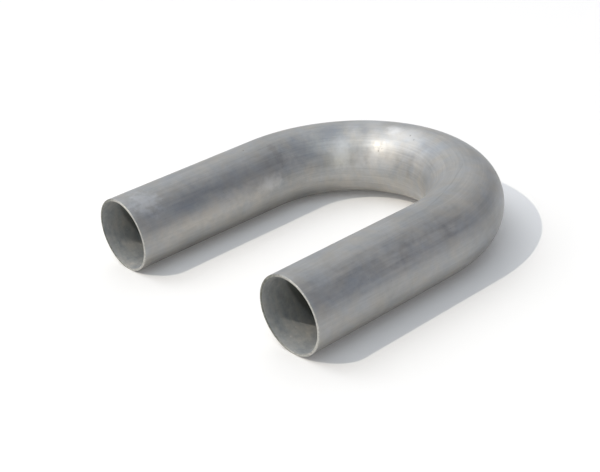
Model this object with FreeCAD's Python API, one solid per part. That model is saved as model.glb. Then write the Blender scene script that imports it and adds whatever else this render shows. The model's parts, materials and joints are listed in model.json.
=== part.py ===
import FreeCAD, Part
import math
import os

# Driving dimensions, in millimetres and degrees
outside_diameter = 63.5
wall = 2.0
bend_radius = 101.6  # of the tube's centreline round the half turn
leg_length = 152.4  # straight run of the -X leg, from the bend to its mouth
leg_mismatch = 5.1  # how much shorter the +X leg is cut
bend_thinning = 0.2  # share of the wall that the outside of the bend loses
lead_in_turn = 13.0  # turn over which the wall goes from even to thinned
edge_break = 0.3  # chamfer left by deburring the sawn ends

outer_radius = outside_diameter / 2
bore_radius = outer_radius - wall
bore_shift = wall * bend_thinning
long_leg = leg_length
short_leg = leg_length - leg_mismatch
half_turn = math.pi

# The tube lies flat. X runs across the legs, the mouths face -Y and the origin is
# at the middle of the bounding box, on the ground.
bend_reach = bend_radius + outer_radius
bend_centre = FreeCAD.Vector(0, (max(long_leg, short_leg) - bend_reach) / 2, outer_radius)
along_leg = FreeCAD.Vector(0, 1, 0)


def bend_point(radius, angle, centre_x=0.0, centre_y=0.0):
    """A point at this angle from +X on an arc, with its centre given from the bend's."""
    x = centre_x + radius * math.cos(angle)
    y = centre_y + radius * math.sin(angle)
    return bend_centre + FreeCAD.Vector(x, y, 0)


def mirrored(point):
    """The same point on the other side of the bend's plane of symmetry."""
    return FreeCAD.Vector(2 * bend_centre.x - point.x, point.y, point.z)


def outer_path():
    """Leg, half turn and leg of the outside, each tangent to the next."""
    right = bend_point(bend_radius, 0)
    crown = bend_point(bend_radius, half_turn / 2)
    left = mirrored(right)
    short_end = right - along_leg * short_leg
    long_end = left - along_leg * long_leg
    return Part.Wire([
        Part.LineSegment(short_end, right).toShape(),
        Part.Arc(right, crown, left).toShape(),
        Part.LineSegment(left, long_end).toShape(),
    ])


def bore_path():
    """The bore's path, which drifts outwards in the bend and so thins its outer wall.

    Past the leg it takes a tighter arc that touches the leg's line and, from inside,
    the main arc, whose radius is larger than the tube's by the shift."""
    turn = math.radians(lead_in_turn)
    centre_gap = bore_shift / (1 - math.cos(turn))
    blend_x = centre_gap * math.cos(turn)
    blend_y = centre_gap * math.sin(turn)
    blend_radius = bend_radius - blend_x
    right = bend_point(blend_radius, 0, blend_x, blend_y)
    blend_middle = bend_point(blend_radius, turn / 2, blend_x, blend_y)
    blend_end = bend_point(blend_radius, turn, blend_x, blend_y)
    crown = bend_point(bend_radius + bore_shift, half_turn / 2)
    left = mirrored(right)
    short_end = right - along_leg * (short_leg + blend_y)
    long_end = left - along_leg * (long_leg + blend_y)
    return Part.Wire([
        Part.LineSegment(short_end, right).toShape(),
        Part.Arc(right, blend_middle, blend_end).toShape(),
        Part.Arc(blend_end, crown, mirrored(blend_end)).toShape(),
        Part.Arc(mirrored(blend_end), mirrored(blend_middle), left).toShape(),
        Part.LineSegment(left, long_end).toShape(),
    ])


def swept_round(path, radius):
    """A solid round bar carried along the path from its first point."""
    start = path.OrderedVertexes[0].Point
    section = Part.makeCircle(radius, start, along_leg)
    return path.makePipe(Part.Face(Part.Wire(section)))


def at_a_mouth(edge):
    """Whether the edge is one of the round ones in the plane of a sawn end."""
    tolerance = 1e-6
    mouths = [bend_centre.y - long_leg, bend_centre.y - short_leg]
    flat = edge.BoundBox.YLength < tolerance
    return flat and min(abs(edge.CenterOfMass.y - mouth) for mouth in mouths) < tolerance


def return_bend():
    """The bent tube, open from one mouth to the other, with its sawn ends deburred."""
    tube = swept_round(outer_path(), outer_radius).cut(swept_round(bore_path(), bore_radius))
    tube = tube.Solids[0]
    mouth_edges = [edge for edge in tube.Edges if at_a_mouth(edge)]
    return tube.makeChamfer(min(edge_break, wall / 3), mouth_edges)


bend = return_bend()
os.makedirs("parts", exist_ok=True)
bend.exportStep("parts/return_bend.step")
print("wall outside and inside the bend:", wall - bore_shift, wall + bore_shift)
print("volume", round(bend.Volume), "mm3, valid", bend.isValid())
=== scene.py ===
import json
import math

import bpy
import numpy as np
from mathutils import Matrix, Vector


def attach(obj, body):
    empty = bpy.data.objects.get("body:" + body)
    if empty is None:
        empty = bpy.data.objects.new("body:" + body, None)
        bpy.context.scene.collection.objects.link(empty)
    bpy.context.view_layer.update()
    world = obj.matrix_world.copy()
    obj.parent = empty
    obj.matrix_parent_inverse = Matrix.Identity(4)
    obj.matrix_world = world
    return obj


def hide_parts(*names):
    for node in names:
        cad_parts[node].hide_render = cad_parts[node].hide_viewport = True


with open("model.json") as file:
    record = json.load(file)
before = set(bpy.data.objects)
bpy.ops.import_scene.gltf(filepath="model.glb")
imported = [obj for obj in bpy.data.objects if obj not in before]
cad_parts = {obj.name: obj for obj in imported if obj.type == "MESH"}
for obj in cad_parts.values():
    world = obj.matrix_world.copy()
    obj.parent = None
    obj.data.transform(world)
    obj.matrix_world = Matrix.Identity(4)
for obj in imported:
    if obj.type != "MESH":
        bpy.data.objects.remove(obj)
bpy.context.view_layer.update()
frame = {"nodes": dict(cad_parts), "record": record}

print("frame loaded:", sorted(frame["nodes"]))

# sizes of the bend in metres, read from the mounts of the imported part
mounts = {mount["name"]: mount for mount in frame["record"]["mounts"]}
longLeg = mounts["long_leg_outside"]
shortLeg = mounts["short_leg_outside"]
longBore = mounts["long_leg_bore"]
outerRadius = longLeg["dims"]["r_mm"] / 1000
boreRadius = longBore["dims"]["r_mm"] / 1000
longLength = longLeg["dims"]["length_mm"] / 1000
shortLength = shortLeg["dims"]["length_mm"] / 1000
boreRunOn = longBore["dims"]["length_mm"] / 1000 - longLength  # straight bore past the leg
bendRadius = shortLeg["pos_m"][0]
bendY = shortLeg["pos_m"][1] + shortLength / 2  # the legs end and the half turn starts here
axisHeight = shortLeg["pos_m"][2]
turnLength = math.pi * bendRadius
wholeLength = longLength + turnLength + shortLength
scene = bpy.context.scene


def direction(azimuth, elevation):
    # the unit vector at so many degrees round from -Y towards +X and up:
    # x = sin(az) * cos(el), y = -cos(az) * cos(el), z = sin(el)
    az, el = math.radians(azimuth), math.radians(elevation)
    return Vector((math.sin(az) * math.cos(el), -math.cos(az) * math.cos(el), math.sin(el)))


camera = {
    "azimuth": 51.214,  # degrees round from -Y towards +X
    "elevation": 26.992,
    "roll": -5.748,
    "distance": 0.98921,  # to the bend's centre, measured along the view
    "right": 0.035034,  # how far that centre lies right of and above the view's middle
    "up": 0.026146,
    "focalPixels": 1187.03,  # at the photograph's 600 pixels across
    "pixelsAcross": 600,
    "sensorWidth": 36,
    "nearest": 0.01,  # what it can see, in metres
    "farthest": 50,
}


def addCamera(c):
    # aimed by azimuth and elevation, rolled about the line of sight, then set back from the bend's centre
    back = direction(c["azimuth"], c["elevation"])
    roll = math.radians(c["roll"])
    level = Vector((0, 0, 1)).cross(back).normalized()
    upright = back.cross(level)
    across = level * math.cos(roll) + upright * math.sin(roll)
    above = upright * math.cos(roll) - level * math.sin(roll)
    data = bpy.data.cameras.new("photoCamera")
    data.sensor_width = c["sensorWidth"]
    data.lens = c["focalPixels"] / c["pixelsAcross"] * data.sensor_width
    data.clip_start, data.clip_end = c["nearest"], c["farthest"]
    eye = bpy.data.objects.new("photoCamera", data)
    place = Vector((0, bendY, axisHeight)) + back * c["distance"] - across * c["right"] - above * c["up"]
    eye.matrix_world = Matrix.Translation(place) @ Matrix((across, above, back)).transposed().to_4x4()
    scene.collection.objects.link(eye)
    scene.camera = eye


addCamera(camera)
print("camera placed")

tube = {
    "around": 128,  # facets round the section
    "station": 0.0022,  # spacing of the sections along the bend
    "legStations": 48,
    "leadInTurn": 13.0,  # degrees over which the bore drifts to the outside of the bend
    "outerEdge": 0.0006,  # rounding of the deburred edges at both mouths
    "boreEdge": 0.0004,
    "edgeSteps": 4,
    "rimRings": 3,
    "sharpAngle": 35,  # degrees past which an edge isn't shaded smooth
}


def runAlong(start, heading, runs):
    # a line of straight runs and arcs, each (length, curvature k, steps). On an arc, with h = h0 + k * s,
    # x = x0 + (sin(h) - sin(h0)) / k and y = y0 - (cos(h) - cos(h0)) / k
    lines, headings = [], []
    x0, y0, h0 = start[0], start[1], heading
    for length, k, steps in runs:
        s = np.linspace(0, length, steps + 1)
        h = h0 + k * s
        if k:
            x = x0 + (np.sin(h) - math.sin(h0)) / k
            y = y0 - (np.cos(h) - math.cos(h0)) / k
        else:
            x = x0 + s * math.cos(h0)
            y = y0 + s * math.sin(h0)
        first = 1 if lines else 0
        lines.append(np.stack([x, y], 1)[first:])
        headings.append(h[first:])
        x0, y0, h0 = x[-1], y[-1], h[-1]
    return np.concatenate(lines), np.concatenate(headings)


def rimProfile(t):
    # (inset from the mouth, radius) from the outside over the sawn face into the bore: a quarter round
    # inset = e * (1 - sin(q)), radius = R - e * (1 - cos(q)), then the flat face, then one like it back
    q = np.linspace(0, math.pi / 2, t["edgeSteps"] + 1)
    flat = np.linspace(outerRadius - t["outerEdge"], boreRadius + t["boreEdge"], t["rimRings"] + 2)[1:-1]
    outer = t["outerEdge"] * (1 - np.sin(q)), outerRadius - t["outerEdge"] * (1 - np.cos(q))
    inner = t["boreEdge"] * (1 - np.sin(q[::-1])), boreRadius + t["boreEdge"] * (1 - np.cos(q[::-1]))
    return np.concatenate([outer[0], 0 * flat, inner[0]]), np.concatenate([outer[1], flat, inner[1]])


def sectionRings(centres, headings, radii, angles):
    # a circle square to the line at each station: centre + r * (cos(a) * outward + sin(a) * up),
    # outward being the left of the heading, which is the outside of the bend
    outward = np.stack([-np.sin(headings), np.cos(headings), 0 * headings], 1)
    middle = np.column_stack([centres, np.full(len(centres), axisHeight)])
    spoke = np.cos(angles)[:, None] * outward[:, None, :] + np.sin(angles)[:, None] * np.array([0, 0, 1.0])
    return middle[:, None, :] + radii[:, None, None] * spoke


def bendRings(t):
    # one closed sheet of rings: along the outside from the long mouth to the short one, over its rim, back
    # through the bore, and over the other rim. The bore runs on past the legs, turns at the smaller radius
    # R - gap * cos(turn) for the lead-in, and at R + gap * (1 - cos(turn)) between the two lead-ins.
    # Returns the rings, where they lay in the straight tube, and the finish of each row of faces
    turn = math.radians(t["leadInTurn"])
    gap = boreRunOn / math.sin(turn)
    leadRadius = bendRadius - gap * math.cos(turn)
    boreBend = bendRadius + gap * (1 - math.cos(turn))
    leadLength = turn * leadRadius
    mainLength = (math.pi - 2 * turn) * boreBend
    turnSteps, leadSteps, mainSteps = (
        round(length / t["station"]) for length in (turnLength, leadLength, mainLength)
    )
    mouthY = bendY - longLength
    north = math.pi / 2

    outerLine, outerHeading = runAlong((-bendRadius, mouthY + t["outerEdge"]), north, [
        (longLength - t["outerEdge"], 0, t["legStations"]),
        (turnLength, -1 / bendRadius, turnSteps),
        (shortLength - t["outerEdge"], 0, t["legStations"]),
    ])
    boreLine, boreHeading = runAlong((-bendRadius, mouthY + t["boreEdge"]), north, [
        (longLength + boreRunOn - t["boreEdge"], 0, t["legStations"]),
        (leadLength, -1 / leadRadius, leadSteps),
        (mainLength, -1 / boreBend, mainSteps),
        (leadLength, -1 / leadRadius, leadSteps),
        (shortLength + boreRunOn - t["boreEdge"], 0, t["legStations"]),
    ])

    inset, rimRadius = rimProfile(t)
    over = slice(1, -1)  # the first and last points of a rim are already on the outside and in the bore
    shortRim = np.column_stack([np.full_like(inset, bendRadius), bendY - shortLength + inset])[over]
    longRim = np.column_stack([np.full_like(inset, -bendRadius), mouthY + inset])[::-1][over]
    centres = np.concatenate([outerLine, shortRim, boreLine[::-1], longRim])
    headings = np.concatenate([
        outerHeading, np.full(len(shortRim), -north), boreHeading[::-1], np.full(len(longRim), north),
    ])
    radii = np.concatenate([
        np.full(len(outerLine), outerRadius), rimRadius[over],
        np.full(len(boreLine), boreRadius), rimRadius[::-1][over],
    ])

    # distance along the straight tube: how far round the bend's centre a ring stands, plus the legs
    x, y = centres[:, 0], centres[:, 1] - bendY
    turned = math.pi / 2 + np.arctan2(x, np.maximum(y, 1e-9))  # only used where y is over 0
    onLegs = np.where(x < 0, longLength + y, longLength + turnLength - y)
    along = np.where(y > 0, longLength + bendRadius * turned, onLegs)
    angles = np.linspace(0, 2 * math.pi, t["around"], endpoint=False)
    rings = sectionRings(centres, headings, radii, angles)
    straight = np.stack([
        np.broadcast_to(along[:, None], rings.shape[:2]),
        radii[:, None] * np.cos(angles),
        radii[:, None] * np.sin(angles),
    ], -1)
    # finish of the faces from each ring to the next: 0 outside, 1 sawn rim, 2 bore
    finishes = np.concatenate([
        np.full(len(outerLine) - 1, 0), np.full(len(shortRim) + 1, 1),
        np.full(len(boreLine) - 1, 2), np.full(len(longRim) + 1, 1),
    ])
    return rings, straight, finishes


def ringFaces(rows, columns):
    # quads between each ring and the next, wrapping both ways, wound to face outwards
    i, j = np.meshgrid(np.arange(rows), np.arange(columns), indexing="ij")
    nextI, nextJ = (i + 1) % rows, (j + 1) % columns
    corners = [i * columns + j, i * columns + nextJ, nextI * columns + nextJ, nextI * columns + j]
    return np.stack(corners, -1).reshape(-1, 4)


def meshFrom(name, rings, straight, finishes, sharpAngle):
    # the rings as one mesh, smooth but for its sharp edges, that keeps its places in the straight tube
    rows, columns = rings.shape[:2]
    faces = ringFaces(rows, columns)
    mesh = bpy.data.meshes.new(name)
    mesh.vertices.add(rows * columns)
    mesh.vertices.foreach_set("co", rings.astype(np.float32).ravel())
    mesh.loops.add(faces.size)
    mesh.loops.foreach_set("vertex_index", faces.astype(np.int32).ravel())
    mesh.polygons.add(len(faces))
    mesh.polygons.foreach_set("loop_start", np.arange(0, faces.size, 4, dtype=np.int32))
    mesh.update(calc_edges=True)
    mesh.validate()
    mesh.polygons.foreach_set("use_smooth", np.ones(len(faces), dtype=bool))
    mesh.set_sharp_from_angle(angle=math.radians(sharpAngle))
    mesh.polygons.foreach_set("material_index", np.repeat(finishes, columns).astype(np.int32))

    # map: u runs along the tube and v round it, and the last column closes at v = 1
    row, column = np.divmod(faces, columns)
    u = (straight[:, 0, 0] / straight[:, 0, 0].max())[row]
    closing = (np.arange(len(faces)) % columns == columns - 1)[:, None] & (column == 0)
    v = np.where(closing, 1.0, column / columns)
    tubeMap = mesh.uv_layers.new(name="tubeMap")
    tubeMap.data.foreach_set("uv", np.stack([u, v], -1).astype(np.float32).ravel())
    kept = mesh.attributes.new("straight", "FLOAT_VECTOR", "POINT")
    kept.data.foreach_set("vector", straight.astype(np.float32).ravel())
    return mesh


bend = bpy.data.objects.new("returnBend", meshFrom("returnBend", *bendRings(tube), tube["sharpAngle"]))
scene.collection.objects.link(bend)
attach(bend, "root")
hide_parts("return_bend")
print("return bend made:", len(bend.data.polygons), "faces")


def setInputs(tree, node, inputs):
    # links each input to a socket or gives it a value, a colour being red, green and blue
    for key, value in inputs.items():
        socket = node.inputs[key]
        if isinstance(value, bpy.types.NodeSocket):
            tree.links.new(value, socket)
        elif socket.type == "RGBA":
            socket.default_value = value + (1,)
        else:
            socket.default_value = value


def addNode(tree, kind, inputs=None, **settings):
    # a shader node with its settings and inputs
    made = tree.nodes.new("ShaderNode" + kind)
    for key, value in settings.items():
        setattr(made, key, value)
    setInputs(tree, made, inputs or {})
    return made


def calc(tree, operation, *values):
    # one Math node on numbers or sockets, in their order
    return addNode(tree, "Math", dict(enumerate(values)), operation=operation).outputs[0]


def vectorCalc(tree, operation, *values, scale=None):
    # one Vector Math node, returned whole because some operations give a value and others a vector
    inputs = dict(enumerate(values))
    if scale is not None:
        inputs["Scale"] = scale
    return addNode(tree, "VectorMath", inputs, operation=operation)


def fade(tree, value, start, end):
    # eases from 0 at start to 1 at end, either way round
    inputs = {"Value": value, "From Min": start, "From Max": end}
    return addNode(tree, "MapRange", inputs, interpolation_type="SMOOTHSTEP").outputs["Result"]


def fadeBy(tree, value, shares, unit):
    # the same, with start and end as shares of a unit of length
    return fade(tree, value, shares[0] * unit, shares[1] * unit)


def noise(tree, place, detail, scale=1.0, roughness=0.6):
    # noise about -0.5 to 0.5, with scale waves to a unit of the place
    inputs = {"Vector": place, "Scale": scale, "Detail": detail, "Roughness": roughness}
    return calc(tree, "SUBTRACT", addNode(tree, "TexNoise", inputs).outputs[0], 0.5)


def newGroup(name, inputs, output):
    # an empty group with its inputs' names and first values: the group, its input sockets and its output
    group = bpy.data.node_groups.new(name, "ShaderNodeTree")
    for key, value in inputs.items():
        kind = "NodeSocketVector" if isinstance(value, tuple) else "NodeSocketFloat"
        group.interface.new_socket(name=key, in_out="INPUT", socket_type=kind).default_value = value
    group.interface.new_socket(name=output, in_out="OUTPUT", socket_type="NodeSocketFloat")
    given = group.nodes.new("NodeGroupInput").outputs
    result = group.nodes.new("NodeGroupOutput").inputs[output]
    return group, given, result


def grainGroup():
    # noise drawn out along the tube, about -0.5 to 0.5: noise(place * (along, around, around) + seed)
    inputs = {"Place": (0.0, 0.0, 0.0), "Along": 8.0, "Around": 300.0, "Detail": 3.0, "Seed": 0.0}
    group, given, result = newGroup("drawnGrain", inputs, "Height")
    waves = {0: given["Along"], 1: given["Around"], 2: given["Around"]}
    stretch = addNode(group, "CombineXYZ", waves).outputs[0]
    shifted = vectorCalc(group, "MULTIPLY_ADD", given["Place"], stretch, given["Seed"]).outputs[0]
    group.links.new(noise(group, shifted, given["Detail"]), result)
    return group


def cloudGroup():
    # rounded blotches, about -0.5 to 0.5: noise(p + bend * colour noise(p / 2)), with p = place / size + seed
    inputs = {"Place": (0.0, 0.0, 0.0), "Size": 0.02, "Detail": 4.0, "Bend": 0.6, "Seed": 0.0}
    group, given, result = newGroup("cloud", inputs, "Height")
    frequency = calc(group, "DIVIDE", 1.0, given["Size"])
    scaled = vectorCalc(group, "SCALE", given["Place"], scale=frequency).outputs[0]
    shifted = vectorCalc(group, "ADD", scaled, given["Seed"]).outputs[0]
    warp = addNode(group, "TexNoise", {"Vector": shifted, "Scale": 0.5, "Detail": 1.0}).outputs["Color"]
    bent = vectorCalc(group, "SCALE", warp, scale=given["Bend"]).outputs[0]
    moved = vectorCalc(group, "ADD", shifted, bent).outputs[0]
    group.links.new(noise(group, moved, given["Detail"]), result)
    return group


def smudgeGroup():
    # a patch with a torn edge: 1 inside and 0 outside |(place - centre) / size| + torn * noise = 1
    inputs = {"Place": (0.0, 0.0, 0.0), "Centre": (0.0, 0.0, 0.0), "Size": (0.02, 0.02, 0.02),
              "Torn": 0.5, "Softness": 0.6}
    group, given, result = newGroup("smudge", inputs, "Mask")
    away = vectorCalc(group, "SUBTRACT", given["Place"], given["Centre"]).outputs[0]
    share = vectorCalc(group, "DIVIDE", away, given["Size"]).outputs[0]
    far = vectorCalc(group, "LENGTH", share).outputs["Value"]
    rags = noise(group, given["Place"], detail=5.0, scale=180.0, roughness=0.65)
    reach = calc(group, "MULTIPLY_ADD", rags, given["Torn"], far)
    inner = calc(group, "SUBTRACT", 1.0, given["Softness"])
    group.links.new(fade(group, reach, 1.0, inner), result)
    return group


def scratchGroup():
    # a thin mark: 1 on the straight line between two places, 0 a width away from it.
    # The nearest point is start + t * (end - start), with t held between 0 and 1
    inputs = {"Place": (0.0, 0.0, 0.0), "Start": (0.0, 0.0, 0.0), "End": (0.1, 0.0, 0.0), "Width": 0.0005}
    group, given, result = newGroup("scratch", inputs, "Mask")
    run = vectorCalc(group, "SUBTRACT", given["End"], given["Start"]).outputs[0]
    away = vectorCalc(group, "SUBTRACT", given["Place"], given["Start"]).outputs[0]
    along = vectorCalc(group, "DOT_PRODUCT", away, run).outputs["Value"]
    length = vectorCalc(group, "DOT_PRODUCT", run, run).outputs["Value"]
    held = addNode(group, "Clamp", {"Value": calc(group, "DIVIDE", along, length)}).outputs[0]
    nearest = vectorCalc(group, "SCALE", run, scale=held).outputs[0]
    gap = vectorCalc(group, "DISTANCE", away, nearest).outputs["Value"]
    group.links.new(fade(group, gap, given["Width"], 0.0), result)
    return group


def speckGroup():
    # round specks: 1 near the points of a scatter, 0 from a radius away, in the share of its cells kept
    inputs = {"Place": (0.0, 0.0, 0.0), "Spacing": 0.004, "Radius": 0.0003, "Kept": 0.5}
    fullShare = 0.3  # of the radius
    group, given, result = newGroup("specks", inputs, "Mask")
    cells = {"Vector": given["Place"], "Scale": calc(group, "DIVIDE", 1.0, given["Spacing"])}
    scatter = addNode(group, "TexVoronoi", cells)
    near = calc(group, "MULTIPLY", scatter.outputs["Distance"], given["Spacing"])
    inside = fade(group, near, given["Radius"], calc(group, "MULTIPLY", given["Radius"], fullShare))
    draw = addNode(group, "SeparateColor", {0: scatter.outputs["Color"]}).outputs[0]
    group.links.new(calc(group, "MULTIPLY", inside, calc(group, "LESS_THAN", draw, given["Kept"])), result)
    return group


groups = {
    "grain": grainGroup(), "cloud": cloudGroup(), "smudge": smudgeGroup(),
    "scratch": scratchGroup(), "specks": speckGroup(),
}


def effect(tree, name, **inputs):
    # one of the shared effects, with its inputs by name
    return addNode(tree, "Group", inputs, node_tree=groups[name]).outputs[0]


def mixColour(tree, factor, first, second, blend="MIX"):
    # first * (1 - factor) + blended * factor. A Mix node's colours are its inputs 6 and 7 and its output 2
    settings = {"data_type": "RGBA", "blend_type": blend, "clamp_factor": True}
    return addNode(tree, "Mix", {0: factor, 6: first, 7: second}, **settings).outputs[2]


def total(tree, weights, values):
    # the base, plus weight * value for each name in the weights
    result = weights.get("base", 0.0)
    for name, weight in weights.items():
        if name != "base":
            result = calc(tree, "MULTIPLY_ADD", values[name], weight, result)
    return result


def strongest(tree, masks):
    # the largest of the masks at each point
    value = masks[0]
    for mask in masks[1:]:
        value = calc(tree, "MAXIMUM", value, mask)
    return value


def onTube(diameters, angle):
    # a place on the straight tube: diameters from the long mouth, degrees round from the outside of the bend
    turn = math.radians(angle)
    return (diameters * 2 * outerRadius, outerRadius * math.cos(turn), outerRadius * math.sin(turn))


allMetal = {
    "specularLevel": 0.2,
    "grainTurn": 0.25,  # a quarter turn, so highlights spread across the grain
}


def newMetal(name, metallic, anisotropy=0.0):
    # a material with its tree, its shader and the place on the straight tube that its effects read
    made = bpy.data.materials.new(name)
    made.use_nodes = True
    tree = made.node_tree
    shader = tree.nodes["Principled BSDF"]
    setInputs(tree, shader, {"Metallic": metallic, "Specular IOR Level": allMetal["specularLevel"]})
    if anisotropy:
        grain = addNode(tree, "Tangent", direction_type="UV_MAP", uv_map="tubeMap").outputs["Tangent"]
        setInputs(tree, shader, {
            "Anisotropic": anisotropy, "Anisotropic Rotation": allMetal["grainTurn"], "Tangent": grain,
        })
    place = addNode(tree, "Attribute", attribute_name="straight").outputs["Vector"]
    return made, tree, shader, place


def dress(tree, shader, colour, roughness, height):
    # the shader's colour and roughness, and a bump from a height in metres
    bump = addNode(tree, "Bump", {"Strength": 1.0, "Distance": 1.0, "Height": height}).outputs["Normal"]
    setInputs(tree, shader, {"Base Color": colour, "Roughness": roughness, "Normal": bump})


outside = {
    "darkTone": (0.292, 0.298, 0.304),
    "lightTone": (0.54, 0.535, 0.525),
    "coolTint": (0.965, 0.997, 1.035),
    "warmTint": (1.035, 1.0, 0.94),
    "metallic": 0.65,
    "anisotropy": 0.48,
    # patterns: grain in waves per metre, clouds and specks in metres
    "fineLines": {"Along": 24.0, "Around": 750.0, "Detail": 4.0, "Seed": 0.0},
    "bands": {"Along": 9.0, "Around": 220.0, "Detail": 3.0, "Seed": 7.0},
    "clouds": {"Size": 0.030, "Detail": 5.0, "Bend": 1.0, "Seed": 0.0},
    "mottle": {"Size": 0.005, "Detail": 4.0, "Bend": 0.6, "Seed": 3.0},
    "tints": {"Size": 0.014, "Detail": 3.0, "Bend": 1.2, "Seed": 21.0},
    "ripple": {"Size": 0.022, "Detail": 1.0, "Bend": 0.5, "Seed": 1.0},
    "specks": {"Spacing": 0.006, "Radius": 0.0006, "Kept": 0.35},
    # where masks begin and where they are full, in radii out from the axis or up from it
    "wipedFrom": (0.3, -1.0),
    "belowFrom": (0.1, -0.5),
    "undersideFrom": (-0.25, -0.7),
    "offCrownFrom": (0.6, 1.5),  # in bend radii from the crown
    # how much of each pattern or mask goes in: a tone of 0 is dark and 1 light, a tint of 0 cool and 1 warm
    "linesOn": {"base": 0.7, "wiped": 0.7},
    "lowOn": {"base": 1.0, "mottle": 0.8, "clouds": 0.6},
    "tone": {"base": 0.5, "lines": 0.65, "bands": 0.5, "clouds": 0.9, "mottle": 0.6, "specks": -0.35,
             "wiped": 0.1, "worn": 1.0},
    "tint": {"base": 0.45, "tints": 2.5, "wiped": 0.1, "worn": 1.0, "below": 0.4},
    "roughness": {"base": 0.475, "clouds": 0.22, "mottle": 0.45, "bands": 0.2,
                  "haze": 0.10, "shades": 0.15},
    "height": {"lines": 0.000008, "mottle": 0.00006, "specks": -0.00001, "pits": -0.00002,
               "witness": 0.00001, "ripple": 0.0005},  # metres
    # marks as (diameters from the long mouth, degrees round from the outside of the bend)
    "haze": (0.28, 118),
    "hazeShape": {"Size": (0.018, 0.020, 0.018), "Torn": 2.4, "Softness": 0.9},
    "hazeTone": (0.70, 0.72, 0.75),
    "hazeStrength": 0.42,
    "pits": [(4.34, 147), (4.40, 143), (4.80, 110), (4.92, 116), (2.04, 97)],
    "pitShape": {"Size": (0.0011, 0.0011, 0.0011), "Torn": 0.8},
    "press": (2.42, 128),
    "pressShape": {"Size": (0.0055, 0.017, 0.017), "Torn": 2.0},
    "witness": [(7.52, 85), (7.22, 93), (6.95, 98), (6.55, 99), (6.20, 92)],  # left by the former's edge
    "witnessWidth": 0.0011,
    # dirt tone for the pits, press and witness marks and rubs, also laid on the underside as painted shade
    "dirtTone": (0.165, 0.155, 0.14),
    "dirtIn": {"pits": 0.6, "press": 0.22, "witness": 0.16, "low": 0.38},
    # patches as (diameters, degrees, half length, half width, strength): a cool stain with cool dark painted
    # shade and reflections, worn places and a painted light band, lighter and warmer, painted highlights in a
    # neutral bright tone, and rubs of dirt, the lowest painted shade
    "patchShape": {"Torn": 0.9, "Softness": 0.98},
    "shadeTone": (0.17, 0.205, 0.255),
    # the first is a stain by the short mouth; the rest are painted dark reflections and shade
    "shades": [
        (9.15, 36, 0.040, 0.014, 0.30), (2.85, 133, 0.030, 0.022, 0.42), (3.48, 112, 0.028, 0.018, 0.43),
        (1.3, 137, 0.090, 0.010, 0.30), (6.95, 342, 0.035, 0.020, 0.12), (5.9, 160, 0.030, 0.018, 0.12),
        (5.48, 118, 0.018, 0.016, 0.26), (2.9, 213, 0.030, 0.013, 0.20), (5.1, 203, 0.040, 0.012, 0.14),
        (4.0, 112, 0.012, 0.012, 0.38), (5.22, 118, 0.014, 0.012, 0.30), (0.80, 148, 0.035, 0.011, 0.42),
    ],
    # worn places; the long band on the long leg's inner side is painted light, lighter and warmer
    "worn": [(1.25, 172, 0.100, 0.013, 0.50), (6.9, 65, 0.060, 0.018, 0.25)],
    # painted highlights: bright neutral patches where highlights fall on the bend and the long leg
    "brightTone": (0.665, 0.665, 0.66),
    "polished": [
        (3.61, 153, 0.018, 0.021, 0.85), (4.25, 157, 0.018, 0.014, 0.45), (4.72, 103, 0.026, 0.013, 0.42),
        (4.15, 80, 0.022, 0.016, 0.32), (4.50, 104, 0.015, 0.011, 0.85), (3.95, 162, 0.017, 0.013, 0.42),
        (4.56, 161, 0.017, 0.011, 0.32), (2.12, 168, 0.021, 0.009, 0.85), (1.64, 163, 0.030, 0.008, 0.30),
    ],
    # rubs of dirt; the lowest one, on the bend's bottom edge, is painted shade
    "rubs": [(6.2, 30, 0.036, 0.018, 0.24), (6.85, 9, 0.032, 0.014, 0.30), (6.97, 335, 0.042, 0.015, 0.26)],
}


def halfTurn(tree, along):
    # 1 in the half turn and 0 on the legs, easing over a radius each side of where they meet
    turnEnd = longLength + turnLength
    entering = fade(tree, along, longLength - outerRadius, longLength + outerRadius)
    leaving = fade(tree, along, turnEnd + outerRadius, turnEnd - outerRadius)
    return calc(tree, "MULTIPLY", entering, leaving)


def paintedUndersideShade(tree, along, up, m):
    # 1 low down on the tube, except at the crown: painted shade, darkening the underside where it would
    # reflect the floor's shadow
    gap = calc(tree, "ABSOLUTE", calc(tree, "SUBTRACT", along, longLength + turnLength / 2))
    offCrown = fadeBy(tree, gap, m["offCrownFrom"], bendRadius)
    return calc(tree, "MULTIPLY", fadeBy(tree, up, m["undersideFrom"], outerRadius), offCrown)


def mark(tree, place, at, shape):
    # one torn patch on the tube's surface
    return effect(tree, "smudge", Place=place, Centre=onTube(*at), **shape)


def patches(tree, place, marks, shape):
    # torn patches, each as strong as its own last number
    return strongest(tree, [
        calc(tree, "MULTIPLY", strength, mark(
            tree, place, (diameters, angle), {"Size": (length, width, width), **shape}))
        for diameters, angle, length, width, strength in marks
    ])


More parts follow.
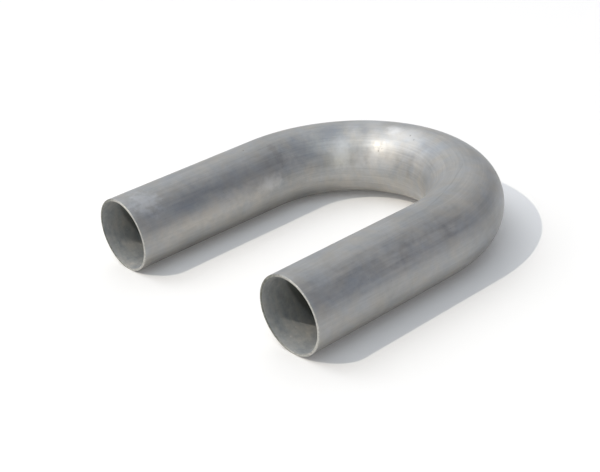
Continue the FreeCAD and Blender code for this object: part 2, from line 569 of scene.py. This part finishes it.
def millAluminium(m):
    # drawn grain, clouds and handling marks over a mixed grey, with ripples in the half turn, and painted
    # light: highlights, dark reflections, a warmer lower side and a shaded underside
    made, tree, shader, place = newMetal("millAluminium", m["metallic"], m["anisotropy"])
    along, out, up = addNode(tree, "SeparateXYZ", {0: place}).outputs
    turned = halfTurn(tree, along)
    layers = {name: effect(tree, "cloud", Place=place, **m[name]) for name in ("clouds", "mottle", "tints")}
    layers["bands"] = effect(tree, "grain", Place=place, **m["bands"])
    layers["specks"] = effect(tree, "specks", Place=place, **m["specks"])
    layers["wiped"] = calc(tree, "MULTIPLY", fadeBy(tree, out, m["wipedFrom"], outerRadius), turned)
    fineLines = effect(tree, "grain", Place=place, **m["fineLines"])
    layers["lines"] = calc(tree, "MULTIPLY", fineLines, total(tree, m["linesOn"], layers))
    ripple = effect(tree, "cloud", Place=place, **m["ripple"])
    layers["ripple"] = calc(tree, "MULTIPLY", ripple, turned)

    # painted floor bounce: the lower side tinted warmer
    layers["below"] = fadeBy(tree, up, m["belowFrom"], outerRadius)
    # painted shade: the underside, mottled, darkened with the dirt tone
    layers["low"] = calc(tree, "MULTIPLY", paintedUndersideShade(tree, along, up, m), total(tree, m["lowOn"], layers))
    layers["haze"] = mark(tree, place, m["haze"], m["hazeShape"])
    layers["press"] = mark(tree, place, m["press"], m["pressShape"])
    layers["pits"] = strongest(tree, [mark(tree, place, pit, m["pitShape"]) for pit in m["pits"]])
    turns = [onTube(*point) for point in m["witness"]]
    layers["witness"] = strongest(tree, [
        effect(tree, "scratch", Place=place, Start=start, End=end, Width=m["witnessWidth"])
        for start, end in zip(turns, turns[1:])
    ])
    for name in ("shades", "worn", "polished", "rubs"):
        layers[name] = patches(tree, place, m[name], m["patchShape"])

    colour = mixColour(tree, total(tree, m["tone"], layers), m["darkTone"], m["lightTone"])
    tint = mixColour(tree, total(tree, m["tint"], layers), m["coolTint"], m["warmTint"])
    colour = mixColour(tree, 1.0, colour, tint, "MULTIPLY")
    colour = mixColour(tree, calc(tree, "MULTIPLY", layers["haze"], m["hazeStrength"]), colour, m["hazeTone"])
    # the stain and the painted dark reflections and shade, in a cool dark tone
    colour = mixColour(tree, layers["shades"], colour, m["shadeTone"])
    # painted highlights
    colour = mixColour(tree, layers["polished"], colour, m["brightTone"])
    # the dirt tone over the marks and rubs, and over the underside as painted shade
    dirtAndShade = [calc(tree, "MULTIPLY", layers[name], weight) for name, weight in m["dirtIn"].items()]
    colour = mixColour(tree, strongest(tree, dirtAndShade + [layers["rubs"]]), colour, m["dirtTone"])
    dress(tree, shader, colour, total(tree, m["roughness"], layers), total(tree, m["height"], layers))
    return made


bore = {
    "darkTone": (0.235, 0.24, 0.242),
    "lightTone": (0.57, 0.575, 0.572),
    "coolTint": (0.945, 1.0, 1.045),
    "warmTint": (1.04, 1.0, 0.945),
    "metallic": 0.2,
    "smears": {"Along": 260.0, "Around": 70.0, "Detail": 3.0, "Seed": 11.0},
    "film": {"Size": 0.012, "Detail": 5.0, "Bend": 1.6, "Seed": 5.0},
    "mottle": {"Size": 0.003, "Detail": 4.0, "Bend": 0.6, "Seed": 9.0},
    "specks": {"Spacing": 0.004, "Radius": 0.0007, "Kept": 0.4},
    "tone": {"base": 0.47, "smears": 0.6, "film": 0.9, "mottle": 0.6, "specks": 0.35},
    "tint": {"base": 0.45, "film": 1.8, "smears": 1.6},
    "roughness": {"base": 0.66, "film": 0.25, "smears": 0.1},
    "height": {"mottle": 0.00002, "smears": 0.00001, "specks": 0.00001},
    "filmTone": (0.10, 0.105, 0.10),  # painted shade: the dark tone laid on deeper in the bore
    "thinFrom": (0.008, 0.060),  # depths between which a painted shade grows, where light falls off into the bore
    "thickFrom": (0.0205, 0.0240),  # and a painted shadow beside each rim, whose edge lies deeper low down and in the short leg
    "edge": {"deep": 1.0, "up": 0.4, "shortSide": -0.0042, "film": 0.003},
    "cover": {"thin": 0.45, "thick": 0.62},
    "patchy": {"base": 0.9, "film": 0.6},
}


def boreAluminium(m):
    # smeared and mottled grey, under painted shade that starts a little way in from each mouth, with a
    # painted shadow beside each rim
    made, tree, shader, place = newMetal("boreAluminium", m["metallic"])
    parts = addNode(tree, "SeparateXYZ", {0: place}).outputs
    along = parts[0]
    layers = {name: effect(tree, "cloud", Place=place, **m[name]) for name in ("film", "mottle")}
    layers["smears"] = effect(tree, "grain", Place=place, **m["smears"])
    layers["specks"] = effect(tree, "specks", Place=place, **m["specks"])
    layers["up"] = parts[2]
    layers["deep"] = calc(tree, "MINIMUM", along, calc(tree, "SUBTRACT", wholeLength, along))
    layers["shortSide"] = fade(tree, along, longLength, wholeLength - shortLength)
    layers["thin"] = fade(tree, layers["deep"], *m["thinFrom"])
    layers["thick"] = fade(tree, total(tree, m["edge"], layers), *m["thickFrom"])

    colour = mixColour(tree, total(tree, m["tone"], layers), m["darkTone"], m["lightTone"])
    tint = mixColour(tree, total(tree, m["tint"], layers), m["coolTint"], m["warmTint"])
    colour = mixColour(tree, 1.0, colour, tint, "MULTIPLY")
    # painted shade and shadow inside the bore, laid on as a dark tone
    paintedShade = calc(tree, "MULTIPLY", total(tree, m["cover"], layers), total(tree, m["patchy"], layers))
    colour = mixColour(tree, paintedShade, colour, m["filmTone"])
    dress(tree, shader, colour, total(tree, m["roughness"], layers), total(tree, m["height"], layers))
    return made


rim = {
    "darkTone": (0.13, 0.135, 0.115),
    "lightTone": (0.55, 0.545, 0.515),
    "metallic": 0.7,
    "sawWaves": (500.0, 1.0, 2600.0),  # per metre: along the saw's stroke, through the wall, across
    "sawTurn": 24.0,  # degrees from level
    "wear": {"Size": 0.002, "Detail": 4.0, "Bend": 0.8, "Seed": 2.0},
    # painted shade: each rim darker towards -X
    "dullFrom": (0.3, -0.8),  # in radii towards +X from each leg's axis
    "tone": {"base": 0.76, "saw": 0.9, "wear": 1.4, "dull": -0.62},
    "roughness": {"base": 0.38, "saw": 0.25, "wear": 0.2, "dull": 0.2},
    "height": {"saw": 0.00002, "wear": 0.00002},
}


def sawnAluminium(m):
    # fine saw lines across both mouths, worn in spots, with painted shade making each darker and rougher
    # towards -X
    made, tree, shader, place = newMetal("sawnAluminium", m["metallic"])
    ground = addNode(tree, "TexCoord").outputs["Object"]
    turned = {"Vector": ground, "Rotation": (0, math.radians(m["sawTurn"]), 0), "Scale": m["sawWaves"]}
    stroke = addNode(tree, "Mapping", turned).outputs[0]
    sides = addNode(tree, "SeparateXYZ", {0: ground}).outputs[0]
    middle = calc(tree, "MULTIPLY", calc(tree, "SIGN", sides), bendRadius)
    layers = {
        "saw": noise(tree, stroke, detail=3.0, roughness=0.5),
        "wear": effect(tree, "cloud", Place=place, **m["wear"]),
        "dull": fadeBy(tree, calc(tree, "SUBTRACT", sides, middle), m["dullFrom"], outerRadius),
    }
    colour = mixColour(tree, total(tree, m["tone"], layers), m["darkTone"], m["lightTone"])
    dress(tree, shader, colour, total(tree, m["roughness"], layers), total(tree, m["height"], layers))
    return made


for finish in (millAluminium(outside), sawnAluminium(rim), boreAluminium(bore)):
    bend.data.materials.append(finish)
print("aluminium finished")

studio = {
    "floorSize": 14.0,
    "floorColour": (0.90, 0.89, 0.875),
    "floorRoughness": 0.9,
    "floorGlow": 0.08,  # what the camera and reflections see on top of the floor's own light, to reach white
    "roomColour": (0.0, 0.0, 0.03),
    # soft glows of the room: degrees round from -Y towards +X, degrees up, tightness, strength, colour
    "glows": {
        "doorway": (-6.5, -9.5, 11.5, 2.76, (1.03, 1.0, 0.93)),
        "frontBox": (49.5, 63.0, 13.0, 1.74, (0.90, 1.0, 1.07)),
        "softBox": (-71.5, 51.0, 13.0, 2.85, (0.975, 1.0, 1.04)),
        "window": (-108.0, 49.0, 26.0, 0.22, (1.0, 1.0, 1.0)),
        "sideWall": (-137.5, 34.0, 3.3, 0.72, (1.0, 1.015, 0.99)),
        "rightWall": (104.0, 17.0, 13.0, 0.55, (0.96, 1.0, 1.12)),
    },
    # round lamps, placed like the glows: distance and size in metres, power in watts
    "lamps": {
        "keyLamp": {"azimuth": -20.7, "elevation": 51.5, "distance": 5.0, "size": 0.07, "power": 98.0,
                    "colour": (1.0, 0.92, 0.80)},
        "lowLamp": {"azimuth": 47.0, "elevation": 13.0, "distance": 4.0, "size": 1.0, "power": 7.3,
                    "colour": (1.0, 0.94, 0.60)},
    },
}


def addFloor(st):
    # a flat pale square with no gloss, under the tube
    half = st["floorSize"] / 2
    corners = [(-half, -half, 0), (half, -half, 0), (half, half, 0), (-half, half, 0)]
    mesh = bpy.data.meshes.new("studioFloor")
    mesh.from_pydata(corners, [], [(0, 1, 2, 3)])
    made = bpy.data.materials.new("paleFloor")
    made.use_nodes = True
    tree = made.node_tree
    rays = addNode(tree, "LightPath").outputs
    seen = calc(tree, "MAXIMUM", rays["Is Camera Ray"], rays["Is Glossy Ray"])
    seen = calc(tree, "MAXIMUM", seen, rays["Is Transmission Ray"])
    setInputs(tree, tree.nodes["Principled BSDF"], {
        "Base Color": st["floorColour"], "Roughness": st["floorRoughness"], "Specular IOR Level": 0.0,
        "Emission Color": (1, 1, 1), "Emission Strength": calc(tree, "MULTIPLY", seen, st["floorGlow"]),
    })
    mesh.materials.append(made)
    floor = bpy.data.objects.new("studioFloor", mesh)
    scene.collection.objects.link(floor)


def addLamp(name, lamp):
    # a round lamp that faces the tube
    data = bpy.data.lights.new(name, "AREA")
    data.shape = "DISK"
    data.size = lamp["size"]
    data.energy = lamp["power"]
    data.color = lamp["colour"]
    made = bpy.data.objects.new(name, data)
    towards = direction(lamp["azimuth"], lamp["elevation"])
    place = Matrix.Translation(towards * lamp["distance"] + Vector((0, 0, axisHeight)))
    made.matrix_world = place @ towards.to_track_quat("Z", "Y").to_matrix().to_4x4()
    scene.collection.objects.link(made)


def addWorld(st):
    # an even room with soft glows, each strength * exp(tightness * (cosine of the angle off it - 1))
    world = bpy.data.worlds.new("studioWorld")
    world.use_nodes = True
    tree = world.node_tree
    view = addNode(tree, "TexCoord").outputs["Generated"]
    light = addNode(tree, "CombineXYZ", dict(enumerate(st["roomColour"]))).outputs[0]
    for azimuth, elevation, tightness, strength, colour in st["glows"].values():
        facing = vectorCalc(tree, "DOT_PRODUCT", view, tuple(direction(azimuth, elevation))).outputs["Value"]
        level = calc(tree, "EXPONENT", calc(tree, "MULTIPLY_ADD", facing, tightness, -tightness))
        tinted = tuple(strength * channel for channel in colour)
        glow = addNode(tree, "CombineXYZ", dict(enumerate(tinted))).outputs[0]
        glow = vectorCalc(tree, "SCALE", glow, scale=level).outputs[0]
        light = vectorCalc(tree, "ADD", light, glow).outputs[0]
    setInputs(tree, tree.nodes["Background"], {"Color": light, "Strength": 1.0})
    scene.world = world


addFloor(studio)
for name, lamp in studio["lamps"].items():
    addLamp(name, lamp)
addWorld(studio)
scene.view_settings.view_transform = "Standard"
print("studio lit")
